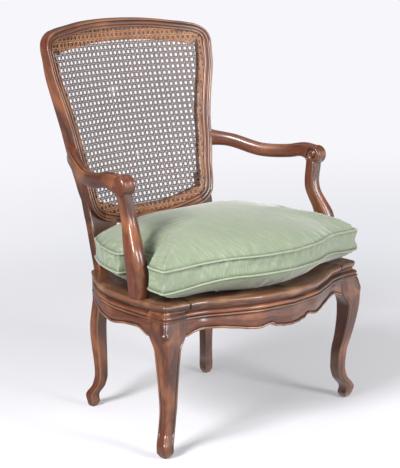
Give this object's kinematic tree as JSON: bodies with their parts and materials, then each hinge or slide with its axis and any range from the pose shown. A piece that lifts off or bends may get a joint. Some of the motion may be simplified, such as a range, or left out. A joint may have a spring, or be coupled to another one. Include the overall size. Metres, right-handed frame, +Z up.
{
  "type": "caned armchair",
  "caption": "Serpentine open-arm chair with caned back and seat, cabriole legs and a loose notched seat cushion that lifts off.",
  "frame": {"origin": "on the floor under the middle of the chair's bounding box", "axes": "+Z up, +X to the sitter's left hand side as seen from the front at the right, -Y is the direction that the chair faces"},
  "size_m": [0.7036, 0.6726, 0.979],
  "materials": {
    "walnut": "waxed and polished reddish-brown wood, paler on the raised edges",
    "peg_wood": "dark end grain, polished",
    "cane": "aged woven cane, semi-matte",
    "cushion_silk": "sage green ribbed silk with a soft sheen",
    "piping_silk": "the same silk over a cord"
  },
  "bodies": {
    "frame": {"front_leg_right": "walnut", "front_leg_left": "walnut", "back_post_right": "walnut", "back_post_left": "walnut", "crest_rail": "walnut", "back_bottom_rail": "walnut", "cane_back": "cane", "seat_rail_front": "walnut", "seat_rail_back": "walnut", "seat_rail_right": "walnut", "seat_rail_left": "walnut", "seat_rim_front": "walnut", "seat_rim_back": "walnut", "seat_rim_right": "walnut", "seat_rim_left": "walnut", "cane_seat": "cane", "arm_right": "walnut", "arm_left": "walnut", "arm_support_right": "walnut", "arm_support_left": "walnut", "peg_front_rail_right": "peg_wood", "peg_front_rail_left": "peg_wood", "peg_side_rail_front_right": "peg_wood", "peg_side_rail_front_left": "peg_wood", "peg_side_rail_rear_right": "peg_wood", "peg_side_rail_rear_left": "peg_wood", "peg_back_rail_right": "peg_wood", "peg_back_rail_left": "peg_wood", "peg_crest_right": "peg_wood", "peg_crest_left": "peg_wood", "peg_bottom_rail_right": "peg_wood", "peg_bottom_rail_left": "peg_wood", "peg_arm_support_right": "peg_wood", "peg_arm_support_left": "peg_wood"},
    "cushion": {"cushion": "cushion_silk", "cushion_piping_top": "piping_silk", "cushion_piping_bottom": "piping_silk"}
  },
  "joints": [
    {"name": "cushion_lift", "type": "slide", "parent": "frame", "child": "cushion", "axis": [0, 0, 1], "range_m": [0, 0.06]}
  ]
}
